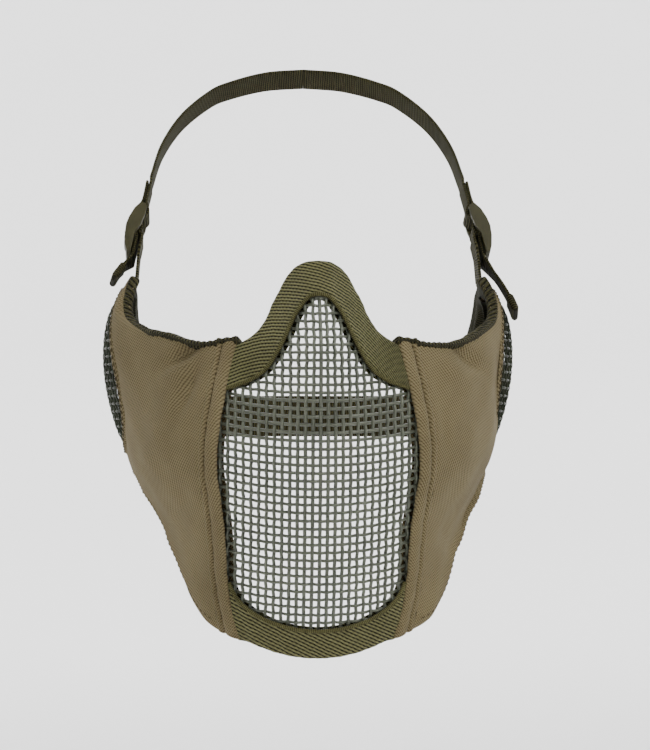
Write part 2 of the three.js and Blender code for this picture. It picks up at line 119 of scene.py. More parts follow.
def along(table, column, z):
    """A smooth value from a table whose first column is the height."""
    heights, values = table[:, 0], table[:, column]
    slopes = np.gradient(values) / np.gradient(heights)
    slopes[0] = (values[1] - values[0]) / (heights[1] - heights[0])
    slopes[-1] = (values[-1] - values[-2]) / (heights[-1] - heights[-2])
    at = np.clip(z, heights[0], heights[-1])
    i = np.clip(np.searchsorted(heights, at, side="left") - 1, 0, len(heights) - 2)
    step = heights[i + 1] - heights[i]
    u = (at - heights[i]) / step
    return ((2 * u**3 - 3 * u**2 + 1) * values[i] + (u**3 - 2 * u**2 + u) * step * slopes[i]
            + (3 * u**2 - 2 * u**3) * values[i + 1] + (u**3 - u**2) * step * slopes[i + 1])


def half_width(z):
    return along(SECTION, 1, z)


def skin(angle, z):
    x = half_width(z) * np.sin(angle)
    forward = np.cos(angle)
    depth = np.where(forward > 0, along(SECTION, 2, z), BACK_DEPTH)
    ridge = along(NOSE, 1, z) * np.exp(-((x / along(NOSE, 2, z)) ** 2))
    y = -depth * forward - np.where(forward > 0, ridge, 0)
    return np.stack([x, y, z + 0 * x], axis=-1)


def normal(angle, z):
    round_it = skin(angle + 0.01, z) - skin(angle - 0.01, z)
    up = skin(angle, z + 1.0) - skin(angle, z - 1.0)
    n = np.cross(round_it, up)
    return n / np.linalg.norm(n, axis=-1, keepdims=True)


def off_skin(angle, z, out):
    """Points off the skin, outwards by out."""
    angle, z, out = np.broadcast_arrays(np.asarray(angle, float), np.asarray(z, float), out)
    return skin(angle, z) + normal(angle, z) * out[..., None]


def angle_of(x, z):
    return np.arcsin(np.clip(x / half_width(z), -1, 1))


def angle_at_depth(y, z):
    return np.arccos(np.clip(-y / np.where(y < 0, along(SECTION, 2, z), BACK_DEPTH), -1, 1))


# ---- Curves ----


def spline(points, count=400):
    """A smooth line through points, as evenly spaced points."""
    p = np.array(points, float)
    p = np.vstack([2 * p[0] - p[1], p, 2 * p[-1] - p[-2]])
    t = np.linspace(0, 1, 24, endpoint=False)[:, None]
    pieces = [0.5 * (2 * b + (c - a) * t + (2 * a - 5 * b + 4 * c - d) * t**2
                     + (3 * b - a - 3 * c + d) * t**3)
              for a, b, c, d in zip(p, p[1:], p[2:], p[3:])]
    return even(np.vstack(pieces + [p[-2:-1]]), count)


def even(line, count):
    """A line of count evenly spaced points."""
    steps = np.linalg.norm(np.diff(line, axis=0), axis=1)
    length = np.concatenate([[0], np.cumsum(steps)])
    at = np.linspace(0, length[-1], count)
    return np.stack([np.interp(at, length, line[:, k]) for k in range(line.shape[1])], axis=1)


def sample(line, s):
    """Values of an evenly spaced line at shares s of its length."""
    at = np.linspace(0, 1, len(line))
    return np.stack([np.interp(s, at, line[:, k]) for k in range(line.shape[1])], axis=-1)


def both_sides(line):
    """A front outline from its right end through the centre line to its left end."""
    return even(np.vstack([line[::-1] * (-1, 1), line[1:]]), 2 * len(line) - 1)


def front(points):
    """A front outline as [angle, z]."""
    line = spline(points)
    return np.stack([angle_of(line[:, 0], line[:, 1]), line[:, 1]], axis=1)


def wing_outline(start, points):
    """A wing outline as [angle, z], with its two coordinates in like measure while it is spaced."""
    scale = half_width(np.array(0.0))
    listed = [(math.radians(deg) * scale, z) for deg, z in points]
    line = spline(([(start[0] * scale, start[1])] if start is not None else []) + listed)
    return line / (scale, 1)


hem_front = front(HEM_FRONT)
seam = front(SEAM)
wing_tops = {
    side: wing_outline(seam[-1], [(deg, z + lift * math.exp(-(((deg - 46) / 8) ** 2))) for deg, z in WING_TOP])
    for side, lift in TOP_LIFT.items()
}
wing_bottom = wing_outline(seam[0], WING_BOTTOM)
wing_rear = wing_outline(None, WING_REAR)


def wing_patch(side, u, v):
    """[angle, z] of the wing, u from the seam to the rear and v from the bottom to the top."""
    top = wing_tops[side]

    def blend(a, b, t):
        return a * (1 - t[..., None]) + b * t[..., None]

    def pulled(line, end):
        return sample(line, v) + (end - line[-1]) * (v**4)[..., None]

    sides = blend(pulled(seam, top[0]), pulled(wing_rear, top[-1]), u)
    ends = blend(sample(wing_bottom, u), sample(top, u), v)
    corners = blend(blend(wing_bottom[0], wing_bottom[-1], u), blend(top[0], top[-1], u), v)
    return ends + sides - corners


# ---- Meshes ----


def grid_faces(rows, columns, wrap_rows=False, wrap_columns=False, first=0):
    """Quads of a grid of vertices in row order."""
    i = np.arange(rows if wrap_rows else rows - 1)[:, None]
    j = np.arange(columns if wrap_columns else columns - 1)[None, :]
    k, m = (i + 1) % rows, (j + 1) % columns
    corners = [i * columns + j, k * columns + j, k * columns + m, i * columns + m]
    return np.stack(np.broadcast_arrays(*corners), axis=-1).reshape(-1, 4) + first


def make(name, points, faces, material, weave=None, smooth=True):
    """A mesh object from points in millimetres. weave gives each point its place on the cloth."""
    mesh = bpy.data.meshes.new(name)
    mesh.from_pydata((np.asarray(points).reshape(-1, 3) / 1000).tolist(), [], [list(f) for f in faces])
    if weave is not None:
        layer = mesh.uv_layers.new(name="weave")
        loops = np.empty(len(mesh.loops), np.int32)
        mesh.loops.foreach_get("vertex_index", loops)
        uv = np.asarray(weave, float).reshape(-1, 2)[loops] / 100
        layer.data.foreach_set("uv", uv.astype(np.float32).ravel())
    mesh.polygons.foreach_set("use_smooth", [smooth] * len(mesh.polygons))
    mesh.materials.append(material)
    obj = bpy.data.objects.new(name, mesh)
    bpy.context.collection.objects.link(obj)
    return obj


def face_out(obj):
    """Turns the faces of a closed mesh outwards and merges points that coincide."""
    bm = bmesh.new()
    bm.from_mesh(obj.data)
    bmesh.ops.remove_doubles(bm, verts=bm.verts, dist=1e-6)
    bmesh.ops.recalc_face_normals(bm, faces=bm.faces)
    bm.to_mesh(obj.data)
    bm.free()
    return obj


def mirrored(points, side):
    """Points of the wearer's left, or the same points on the right."""
    return points if side == "left" else points * (-1, 1, 1)


def tubes(lines, normals, radii, sides=6):
    """Points and faces of round wires along lines, with normals square to them."""
    turn = np.linspace(0, 2 * math.pi, sides, endpoint=False)
    points, faces, first = [], [], 0
    for line, n, radius in zip(lines, normals, radii):
        tangent = np.gradient(line, axis=0)
        tangent /= np.linalg.norm(tangent, axis=1, keepdims=True)
        across = np.cross(tangent, n)
        across /= np.linalg.norm(across, axis=1, keepdims=True)
        face = np.cross(across, tangent)
        ring = (line[:, None] + radius * (np.cos(turn)[None, :, None] * across[:, None]
                                          + np.sin(turn)[None, :, None] * face[:, None]))
        points.append(ring.reshape(-1, 3))
        faces += grid_faces(len(line), sides, wrap_columns=True, first=first).tolist()
        faces.append(list(range(first + sides - 1, first - 1, -1)))
        last = first + (len(line) - 1) * sides
        faces.append(list(range(last, last + sides)))
        first += len(line) * sides
    return np.vstack(points), faces


def webbing_mesh(line, across, width, thick):
    """Points, faces and weave of flat webbing with rounded edges. thick may be one value a point."""
    thick = np.broadcast_to(np.asarray(thick, float), len(line))
    tangent = np.gradient(line, axis=0)
    tangent /= np.linalg.norm(tangent, axis=1, keepdims=True)
    side = across - (across * tangent).sum(1, keepdims=True) * tangent
    side /= np.linalg.norm(side, axis=1, keepdims=True)
    face = np.cross(side, tangent)
    inset = np.linspace(-1, 1, 13)
    low = [(s, -1) for s in inset]
    edge = [(1 + 0.0, 0.0)]
    high = [(s, 1) for s in inset[::-1]]
    profile = np.array(low + edge + high + [(-1.0, 0.0)])
    flat = width / 2 - 0.45 * thick[:, None]
    out = np.where(profile[:, 1] == 0, width / 2, flat * np.abs(profile[:, 0])) * np.sign(profile[:, 0])
    ring = (line[:, None] + side[:, None] * out[..., None]
            + face[:, None] * (thick[:, None] / 2 * profile[:, 1])[..., None])
    count = len(profile)
    length = np.concatenate([[0], np.cumsum(np.linalg.norm(np.diff(line, axis=0), axis=1))])
    weave = np.stack([np.broadcast_to(length[:, None], out.shape), out], axis=-1)
    faces = grid_faces(len(line), count, wrap_columns=True).tolist()
    faces += [list(range(count - 1, -1, -1)), list(range((len(line) - 1) * count, len(line) * count))]
    return ring.reshape(-1, 3), faces, weave.reshape(-1, 2)


def stitch_row(line, normals, length=2.5, gap=0.7, radius=0.24):
    """Lines and normals of a row of stitches, their ends sunk in the cloth."""
    steps = np.linalg.norm(np.diff(line, axis=0), axis=1)
    total = steps.sum()
    count = max(1, int(total // (length + gap)))
    at = np.concatenate([[0], np.cumsum(steps)]) / total
    arch = np.array([-2.2, -0.1, 0.3, -0.1, -2.2])[:, None] * radius
    lines, ups = [], []
    for k in range(count):
        start = (k + 0.5 * gap / (length + gap)) / count
        s = np.linspace(start, start + length / total, 5)
        up = np.stack([np.interp(s, at, normals[:, c]) for c in range(3)], axis=1)
        lines.append(np.stack([np.interp(s, at, line[:, c]) for c in range(3)], axis=1) + up * arch)
        ups.append(up)
    return lines, ups


def sew(name, side, rows, material, radius=0.24, **spacing):
    """One mesh of several rows of stitches, each row a line with its normals."""
    lines, ups = [], []
    for line, normals in rows:
        row_lines, row_ups = stitch_row(line, normals, radius=radius, **spacing)
        lines += row_lines
        ups += row_ups
    points, faces = tubes(lines, ups, [radius] * len(lines), sides=5)
    return make(name, mirrored(points, side), faces, material)


# ---- Materials ----


class Nodes:
    """A material's node tree, built by short calls."""

    def __init__(self, name, roughness=0.9, metallic=0.0, sheen=0.0, specular=0.12):
        self.material = bpy.data.materials.new(name)
        self.material.use_nodes = True
        self.tree = self.material.node_tree
        self.shader = self.tree.nodes["Principled BSDF"]
        self.shader.inputs["Roughness"].default_value = roughness
        self.shader.inputs["Metallic"].default_value = metallic
        self.shader.inputs["Sheen Weight"].default_value = sheen
        self.shader.inputs["Sheen Roughness"].default_value = 0.5
        self.shader.inputs["Specular IOR Level"].default_value = specular

    def node(self, kind, **settings):
        made = self.tree.nodes.new(kind)
        for key, value in settings.items():
            setattr(made, key, value)
        return made

    def put(self, socket, value):
        if isinstance(value, bpy.types.NodeSocket):
            self.tree.links.new(value, socket)
        else:
            socket.default_value = value

    def math(self, operation, a, b=0.0, c=None):
        made = self.node("ShaderNodeMath", operation=operation)
        self.put(made.inputs[0], a)
        self.put(made.inputs[1], b)
        if c is not None:
            self.put(made.inputs[2], c)
        return made.outputs[0]

    def weave(self):
        """The place on the cloth, in millimetres, as two values."""
        uv = self.node("ShaderNodeUVMap", uv_map="weave")
        split = self.node("ShaderNodeSeparateXYZ")
        self.put(split.inputs[0], uv.outputs[0])
        return [self.math("MULTIPLY", split.outputs[k], 100.0) for k in (0, 1)]

    def noise(self, scale, detail=3.0, roughness=0.55):
        place = self.node("ShaderNodeTexCoord")
        made = self.node("ShaderNodeTexNoise")
        self.put(made.inputs["Vector"], place.outputs["Object"])
        self.put(made.inputs["Scale"], scale)
        self.put(made.inputs["Detail"], detail)
        self.put(made.inputs["Roughness"], roughness)
        return made.outputs["Fac"]

    def wave(self, value, pitch, phase=0.0):
        """From 0 to 1 and back once a pitch."""
        turn = self.math("MULTIPLY_ADD", value, 2 * math.pi / pitch, phase)
        return self.math("MULTIPLY_ADD", self.math("SINE", turn), 0.5, 0.5)

    def ramp(self, value, stops):
        made = self.node("ShaderNodeValToRGB")
        self.put(made.inputs[0], value)
        elements = made.color_ramp.elements
        while len(elements) < len(stops):
            elements.new(0.5)
        for element, (place, colour) in zip(elements, stops):
            element.position = place
            element.color = (*colour, 1)
        return made.outputs[0]

    def mix(self, share, a, b, blend="MIX"):
        made = self.node("ShaderNodeMix", data_type="RGBA", blend_type=blend)
        self.put(made.inputs[0], share)
        self.put(made.inputs[6], a)
        self.put(made.inputs[7], b)
        return made.outputs[2]

    def bump(self, height, distance, strength=1.0, under=None):
        made = self.node("ShaderNodeBump")
        self.put(made.inputs["Height"], height)
        self.put(made.inputs["Distance"], distance)
        self.put(made.inputs["Strength"], strength)
        if under is not None:
            self.put(made.inputs["Normal"], under)
        return made.outputs[0]

    def finish(self, colour, bump=None, roughness=None):
        self.put(self.shader.inputs["Base Color"], colour)
        if bump is not None:
            self.put(self.shader.inputs["Normal"], bump)
        if roughness is not None:
            self.put(self.shader.inputs["Roughness"], roughness)
        return self.material


def linear(r, g, b):
    """A display colour, 0 to 255, as linear light."""
    return tuple(((c / 255 + 0.055) / 1.055) ** 2.4 if c > 10 else c / 255 / 12.92 for c in (r, g, b))


def twill(name, light, dark, pitch=1.15, depth=0.00022):
    """Diagonal ribs broken into floats, as in a cotton twill."""
    n = Nodes(name, roughness=0.95, sheen=0.02)
    across, up = n.weave()
    wander = n.math("MULTIPLY_ADD", n.noise(70.0), 0.9, 0.0)
    p = n.math("ADD", n.math("MULTIPLY", n.math("ADD", across, up), 0.7071), wander)
    q = n.math("MULTIPLY", n.math("SUBTRACT", up, across), 0.7071)
    rib = n.wave(p, pitch)
    thread = n.wave(n.math("ADD", q, n.math("MULTIPLY", p, 0.5)), pitch * 1.35)
    fuzz = n.noise(2600.0, detail=2.0)
    height = n.math("ADD", n.math("MULTIPLY", rib, 0.62), n.math("MULTIPLY", thread, 0.26))
    height = n.math("ADD", height, n.math("MULTIPLY", fuzz, 0.3))
    colour = n.ramp(height, [(0.12, linear(*dark)), (0.95, linear(*light))])
    cast = n.ramp(n.noise(28.0, detail=4.0), [(0.3, (0.84, 0.83, 0.82)), (0.72, (1.1, 1.1, 1.1))])
    colour = n.mix(1.0, colour, cast, "MULTIPLY")
    return n.finish(colour, n.bump(height, depth, 0.9))


def ribbed(name, light, dark, pitch, cross, depth=0.0004, slant=0.0):
    """Ribs across the cloth's length, each broken into short floats."""
    n = Nodes(name, roughness=0.9, sheen=0.02)
    run, across = n.weave()
    wander = n.math("MULTIPLY", n.noise(120.0), 0.5)
    p = n.math("ADD", n.math("ADD", run, n.math("MULTIPLY", across, slant)), wander)
    rib = n.wave(p, pitch)
    which = n.math("FLOOR", n.math("MULTIPLY", p, 1 / pitch))
    float_place = n.math("ADD", across, n.math("MULTIPLY", which, cross / 2))
    thread = n.wave(float_place, cross)
    fuzz = n.noise(3000.0, detail=2.0)
    height = n.math("ADD", n.math("MULTIPLY", rib, 0.72), n.math("MULTIPLY", thread, 0.2))
    height = n.math("ADD", height, n.math("MULTIPLY", fuzz, 0.16))
    colour = n.ramp(height, [(0.15, linear(*dark)), (0.9, linear(*light))])
    cast = n.ramp(n.noise(45.0, detail=3.0), [(0.3, (0.82, 0.82, 0.8)), (0.72, (1.1, 1.1, 1.08))])
    colour = n.mix(1.0, colour, cast, "MULTIPLY")
    return n.finish(colour, n.bump(height, depth, 1.0))


def painted_wire(name, colour, wear_and_highlight, specular=0.5):
    n = Nodes(name, metallic=0.25, specular=specular)
    spots = n.noise(900.0, detail=4.0)
    broad = n.noise(60.0, detail=3.0)
    tone = n.mix(n.math("MULTIPLY", spots, 0.9), linear(*colour) + (1,), linear(*wear_and_highlight) + (1,))
    cast = n.ramp(broad, [(0.3, (0.75, 0.76, 0.74)), (0.7, (1.15, 1.15, 1.12))])
    rough = n.math("MULTIPLY_ADD", spots, 0.35, 0.22)
    return n.finish(n.mix(1.0, tone, cast, "MULTIPLY"), n.bump(spots, 0.00008, 0.6), rough)


def moulded(name, colour, light, wear_and_highlight):
    """Moulded plastic with a fine grain, and a painted pale highlight at the lip, the lowest of it."""
    n = Nodes(name, specular=0.2)
    grain = n.noise(2400.0, detail=2.0)
    broad = n.noise(90.0, detail=4.0)
    tone = n.ramp(broad, [(0.3, linear(*colour)), (0.75, linear(*light))])
    place = n.node("ShaderNodeSeparateXYZ")
    n.put(place.inputs[0], n.node("ShaderNodeTexCoord").outputs["Object"])
    # painted highlight: the plastic turns pale within a few millimetres above the lip
    above_lip = n.math("MULTIPLY", n.math("SUBTRACT", place.outputs[2], LIP_Z / 1000), 1000 / 3.2)
    lip_highlight = n.ramp(n.math("ADD", above_lip, n.noise(500.0)), [(0.55, (1, 1, 1)), (1.0, (0, 0, 0))])
    tone = n.mix(lip_highlight, tone, linear(*wear_and_highlight) + (1,))
    return n.finish(tone, n.bump(grain, 0.00004, 0.5), n.math("MULTIPLY_ADD", broad, 0.3, 0.42))


def thread_material(name, colour):
    n = Nodes(name, roughness=0.7)
    twist = n.noise(2200.0)
    tone = n.ramp(twist, [(0.3, tuple(0.6 * c for c in linear(*colour))), (0.7, linear(*colour))])
    return n.finish(tone, n.bump(twist, 0.0001))


TAN = twill("tan_twill", (125, 114, 84), (71, 62, 44), pitch=1.0)
TAPE = ribbed("edge_tape", (117, 115, 79), (21, 20, 12), 1.4, 1.7, depth=0.0006)
BEAD = ribbed("edge_bead", (94, 92, 60), (49, 46, 27), 0.8, 1.1, depth=0.00015)
WEBBING = ribbed("strap_webbing", (72, 69, 44), (22, 21, 12), 1.1, 1.6)
KNIT = ribbed("binding_knit", (72, 69, 44), (9, 8, 5), 1.7, 1.4, depth=0.0007, slant=0.35)
LINING = ribbed("lining_knit", (54, 53, 34), (15, 15, 9), 1.6, 1.2, depth=0.0004)
STEEL = painted_wire("painted_steel", (66, 70, 58), (104, 107, 94))
# The ear covers' wire is the front mesh's painted steel made darker: painted shade.
EAR_STEEL_SHADED = painted_wire("ear_steel_painted_shade", (32, 35, 25), (58, 62, 48), 0.15)
# The last colour is a painted highlight along the locks' lip.
PLASTIC = moulded("olive_plastic", (48, 46, 25), (66, 63, 38), (108, 110, 100))
TAN_THREAD = thread_material("tan_thread", (66, 57, 37))
OLIVE_THREAD = thread_material("olive_thread", (60, 57, 34))

# ---- Front mesh: crimped wires over and under each other ----


def inside(polygon, x, z):
    """Whether points lie in a polygon of x, z."""
    result = np.zeros(np.shape(x), bool)
    for (x0, z0), (x1, z1) in zip(polygon, np.roll(polygon, -1, axis=0)):
        crosses = (z0 > z) != (z1 > z)
        reach = (x1 - x0) * (z - z0) / ((z1 - z0) if z1 != z0 else 1) + x0
        result ^= crosses & (x < reach)
    return result


def longest_run(flags):
    """The first and last index of the longest run of true flags."""
    edges = np.flatnonzero(np.diff(np.concatenate([[0], flags.astype(int), [0]])))
    runs = [(a, b) for a, b in zip(edges[::2], edges[1::2])]
    return max(runs, key=lambda r: r[1] - r[0]) if runs else None


def woven(place, columns, rows, keep, diameters, per_pitch=4):
    """Wires of a woven mesh. place(a, b) gives the points and normals of mesh coordinates."""
    lines, ups, radii = [], [], []
    bulge = 0.24 * sum(diameters) / 2
    for along_columns in (True, False):
        fixed, running = (columns, rows) if along_columns else (rows, columns)
        sign = 1 if along_columns else -1
        for i in range(len(fixed)):
            k = np.arange((len(running) - 1) * per_pitch + 1) / per_pitch
            run = running[0] + k * (running[1] - running[0])
            still = np.full_like(run, fixed[i])
            a, b = (still, run) if along_columns else (run, still)
            span = longest_run(keep(a, b))
            if span is None or span[1] - span[0] < 3:
                continue
            points, up = place(a, b)
            crimp = sign * (-1.0) ** i * np.cos(math.pi * k) * bulge
            lines.append((points + up * crimp[:, None])[span[0]:span[1]])
            ups.append(up[span[0]:span[1]])
            radii.append(diameters[0 if along_columns else 1] / 2)
    return tubes(lines, ups, radii)


def build_front_mesh():
    outline = [(x, z) for x, z in both_sides(spline(NOSE_OUTER)) if abs(x) < 34]
    outline = [(x, z - 3.2) for x, z in outline]
    chin = [(x, z + 3.2) for x, z in both_sides(spline(CHIN_OUTER)) if abs(x) < 31]
    side = [(x + 2.6, z) for x, z in spline(HEM_FRONT) if -114 < z < 6]
    other = [(-x, z) for x, z in side]
    polygon = np.array(outline + side[::-1] + chin[::-1] + other)

    def row_height(x, b):
        return b + ROW_DROOP * (np.minimum(np.abs(x) / 42, 1) ** 2 - 0.35)

    def place(a, b):
        z = row_height(a, b)
        angle = angle_of(a, z)
        return off_skin(angle, z, -0.95), normal(angle, z)

    def keep(a, b):
        return inside(polygon, a, row_height(a, b))

    columns = np.arange(-14, 15) * WIRE_PITCH[0]
    rows = -122 + np.arange(50) * WIRE_PITCH[1]
    points, faces = woven(place, columns, rows, keep, WIRES)
    mesh = make("front_wire_mesh", points, faces, STEEL)
    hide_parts("front_mesh")
    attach(mesh, "front")


# ---- Edge tapes: webbing folded over the mesh, with a rolled bead on its inner edge ----


TAPE_TOP = [(f, 1.55 + 0.15 * math.sin(math.pi * f)) for f in np.linspace(0.02, 0.93, 12)]
TAPE_FOLD = [(0.99, 1.2), (1.03, 0.1), (1.045, -1.0), (1.03, -2.2), (0.98, -3.0)]
TAPE_BACK = [(f, -3.45) for f in np.linspace(0.9, 0.05, 6)]
TAPE_SLOT = [(0.0, -3.1), (0.03, -2.5), (0.6, -2.45), (0.9, -1.6), (0.9, -0.4), (0.6, 0.35), (0.0, 0.45)]


def folded_band(near, far, profile, taper=0.0):
    """Points and faces of a band between two lines of [angle, z]. The profile is in shares and offsets."""
    profile = np.array(profile)
    share, out = profile[:, 0][None, :], profile[:, 1][None, :]
    across = near[:, None] * (1 - share[..., None]) + far[:, None] * share[..., None]
    s = np.linspace(0, 1, len(near))[:, None]
    wobble = 0.1 * np.sin(s * 61) + 0.07 * np.sin(s * 139 + 1)
    if taper:
        ends = rounding(np.minimum(s, 1 - s) * taper, 1.6)
        out = -1.0 + (out + 1.0) * (0.35 + 0.65 * ends)
    points = off_skin(across[..., 0], across[..., 1], out + wobble * (out > 0.5))
    rows, columns = points.shape[:2]
    faces = grid_faces(rows, columns, wrap_columns=True).tolist()
    faces += [list(range(columns - 1, -1, -1)), list(range((rows - 1) * columns, rows * columns))]
    return points, faces, across


def build_edge_tape(name, inner, outer, count, cad_node, ribs):
    """inner and outer are front outlines through the centre line, as x, z."""
    s = np.linspace(0, 1, count)
    near, far = [np.stack([angle_of(line[:, 0], line[:, 1]), line[:, 1]], axis=1)
                 for line in (sample(inner, s), sample(outer, s))]
    points, faces, across = folded_band(near, far, TAPE_TOP + TAPE_FOLD + TAPE_BACK + TAPE_SLOT)
    x = half_width(across[..., 1]) * np.sin(across[..., 0])
    tape = face_out(make(name, points, faces, TAPE, ribs(x, across[..., 1])))
    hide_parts(cad_node)
    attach(tape, "front")

    angle, z = near[:, 0], near[:, 1]
    turn = np.linspace(0, 2 * math.pi, 10, endpoint=False)
    line = off_skin(angle, z, 0.85)
    up = normal(angle, z)
    points, faces = tubes([line], [up], [0.95], sides=len(turn))
    length = np.concatenate([[0], np.cumsum(np.linalg.norm(np.diff(line, axis=0), axis=1))])
    weave = np.stack(np.broadcast_arrays(length[:, None], turn[None, :]), axis=-1)
    bead = make(name + "_bead", points, faces, BEAD, weave)
    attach(bead, "front")


def nose_ribs(x, z):
    """Ribs that start square to the tape on the right cheek and turn to run along it on the left."""
    slope = np.radians(-20 - 1.2 * x)
    fall = np.log(np.abs(np.cos(slope))) / math.radians(1.2)
    return np.stack([z - fall, x * 1.2], axis=-1)


def chin_ribs(x, z):
    return np.stack([x * 0.45 + z * 0.9, x * 0.9], axis=-1)


def trimmed(points, limit):
    line = both_sides(spline(points))
    return even(line[np.abs(line[:, 0]) < limit], 400)


def build_tapes():
    build_edge_tape("nose_edge_tape", trimmed(NOSE_INNER, 38.5), trimmed(NOSE_OUTER, 35.5), 260,
                    "nose_tape", nose_ribs)
    build_edge_tape("chin_edge_tape", trimmed(CHIN_INNER, 37.2), trimmed(CHIN_OUTER, 33.5), 200,
                    "chin_tape", chin_ribs)


# ---- Padded cloth ----

EDGE_TURN = 2.8  # of cloth taken up by half a turned edge


def packed(length, fine=0.5, step=2.2, edge=5.0):
    """Shares from 0 to 1 along a length in millimetres, closer together near both ends."""
    near = [0.0]
    while near[-1] < edge:
        near.append(near[-1] + fine + 0.28 * near[-1])
    near = np.array(near)
    middle = np.linspace(near[-1], length - near[-1], max(2, int((length - 2 * near[-1]) / step)))
    return np.concatenate([near[:-1], middle, (length - near[:-1])[::-1]]) / length


def rounding(distance, radius):
    """From 0 at an edge to 1 a radius away, along a quarter circle."""
    t = np.clip(distance / radius, 0, 1)
    return np.sqrt(1 - (1 - t) ** 2)


def padded_form(place, u, v, high, low, middle, edge_of):
    """Points and faces of a closed pad between offsets high and low, rounded to middle at its edges."""
    uu, vv = np.meshgrid(u, v, indexing="ij")
    round_off = edge_of(uu, vv)
    angle, z = np.moveaxis(place(uu, vv), -1, 0)
    layers = [off_skin(angle, z, middle + (level(uu, vv) - middle) * round_off) for level in (high, low)]
    rows, columns = uu.shape
    points = np.vstack([layer.reshape(-1, 3) for layer in layers])
    faces = np.vstack([grid_faces(rows, columns), grid_faces(rows, columns, first=rows * columns)[:, ::-1]])
    over_edge = EDGE_TURN * (1 - round_off)
    weave = np.stack([angle * 86 + over_edge, z + over_edge * (2 * vv - 1)], axis=-1).reshape(-1, 2)
    return points, faces, np.vstack([weave, weave])


def bumps(x, z, spots):
    """The sum of smooth dents and folds."""
    total = np.zeros(np.broadcast(x, z).shape)
    for cx, cz, across, along_it, turn, depth in spots:
        c, s = math.cos(math.radians(turn)), math.sin(math.radians(turn))
        p = ((x - cx) * c + (z - cz) * s) / across
        q = (-(x - cx) * s + (z - cz) * c) / along_it
        total = total + depth * np.exp(-(p**2) - q**2)
    return total


HEM_LENGTH = 132
HEM_FACE = [(0.0, 1.2), (0.02, 1.9), (0.07, 2.5), (0.16, 2.9), (0.3, 3.05), (0.45, 2.95), (0.57, 2.65),
            (0.67, 2.1), (0.72, 1.5), (0.74, 1.35), (0.76, 1.6), (0.8, 2.2), (0.86, 2.5), (0.93, 2.55),
            (1.0, 2.5), (1.004, 0.4)]
HEM_BACK = [(1.0, -3.0), (0.97, -4.1), (0.85, -4.6), (0.6, -4.7), (0.3, -4.65), (0.08, -4.2), (0.0, -3.2)]
HEM_SLOT = [(0.05, -2.6), (0.5, -2.4), (0.85, -1.6), (0.85, -0.3), (0.5, 0.5), (0.06, 0.8)]


def build_hem(side):
    """A padded band folded over the edge of the mesh, stitched down along its far side."""
    s = np.linspace(0, 1, 200)
    profile = HEM_FACE + HEM_BACK + HEM_SLOT
    points, faces, across = folded_band(sample(hem_front, s), sample(seam, s), profile, HEM_LENGTH)
    weave = np.stack([across[..., 0] * 86, across[..., 1]], axis=-1)
    hem = face_out(make(side + "_hem_band", mirrored(points, side), faces, TAN, weave))
    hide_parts(side + "_hem")
    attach(hem, "front")


WING_LENGTH, WING_HEIGHT = 132, 96
FULL_EDGE = {"left": 2.7, "right": 0.5}  # how far the lower edge puffs out
EAR_PUFF = {"left": 1.0, "right": 4.4}  # how far the cloth puffs out ahead of the ear cover
# Dents and folds: centre x, z, half length, half width, degrees the length is turned, height.
DENTS = {
    "left": [(65, 4, 9, 2.5, -34, -3.8), (58, -2, 9, 2.6, -34, 1.2), (80, -12, 24, 2.0, 86, -0.9),
             (52, -24, 16, 2.4, -82, -1.3), (78, -28, 15, 9, 90, 1.7), (66, -52, 20, 5, -64, 0.6), (57, -78, 16, 3.4, -60, -0.7)],
    "right": [(56, 5, 9, 2.6, -34, -4.5), (58, -1.5, 8, 2.3, -30, 1.7), (54, -9.5, 10, 2.6, -66, -4.2),
              (52, -30, 18, 2.6, -84, -1.5), (70, -36, 22, 4.5, -72, 0.8), (60, -66, 18, 3.8, -62, -0.7),
              (52, -92, 12, 3, -56, -0.5)],
}


def ear_puff(side, angle, z):
    return EAR_PUFF[side] * np.exp(-((np.degrees(angle) - 71) / 10) ** 2 - ((z - 13) / 26) ** 2)


def wing_edge(uu, vv):
    """How full the wing is, falling round at its turned edges and level with the hem at the seam."""
    width = WING_LENGTH * uu
    rear = rounding(WING_LENGTH - width, 2.4)
    seam_side = 0.97 + 0.03 * rounding(width, 2.0)
    bottom = rounding(vv * WING_HEIGHT, 2.4)
    cap = rounding((1 - vv) * WING_HEIGHT, 2.0)
    return np.minimum(np.minimum(rear, seam_side), np.minimum(bottom, cap))


def thinned(u, v):
    """How much thinner the wing is near its top edge, most of all at the temple."""
    at_temple = np.clip((u - 0.25) / 0.35, 0, 1)
    return (1.2 + 1.9 * at_temple) * np.exp(-(((1 - v) * WING_HEIGHT / 9) ** 2))


def ear_cutter(share):
    """An oval prism through the wing, along X."""
    turn = np.linspace(0, 2 * math.pi, 72, endpoint=False)
    y = EAR["y"] + share * EAR["half_width"] * np.cos(turn)
    z = EAR["z"] + share * EAR["half_height"] * np.sin(turn)
    points = np.vstack([np.stack([np.full_like(y, x), y, z], axis=1) for x in (50.0, 110.0)])
    n = len(turn)
    faces = [[i, (i + 1) % n, (i + 1) % n + n, i + n] for i in range(n)]
    return points, faces + [list(range(n))[::-1], list(range(n, 2 * n))]


def cut_ear_hole(obj, side, share):
    points, faces = ear_cutter(share)
    cutter = face_out(make("cutter", mirrored(points, side), faces, TAN))
    change = obj.modifiers.new("ear", "BOOLEAN")
    change.operation = "DIFFERENCE"
    change.solver = "EXACT"
    change.object = cutter
    depsgraph = bpy.context.evaluated_depsgraph_get()
    made = bpy.data.meshes.new_from_object(obj.evaluated_get(depsgraph))
    obj.modifiers.clear()
    obj.data = made
    bpy.data.objects.remove(cutter)


def blend_at_fold(obj):
    """Bakes the object's placement into its points."""
    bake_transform(obj)


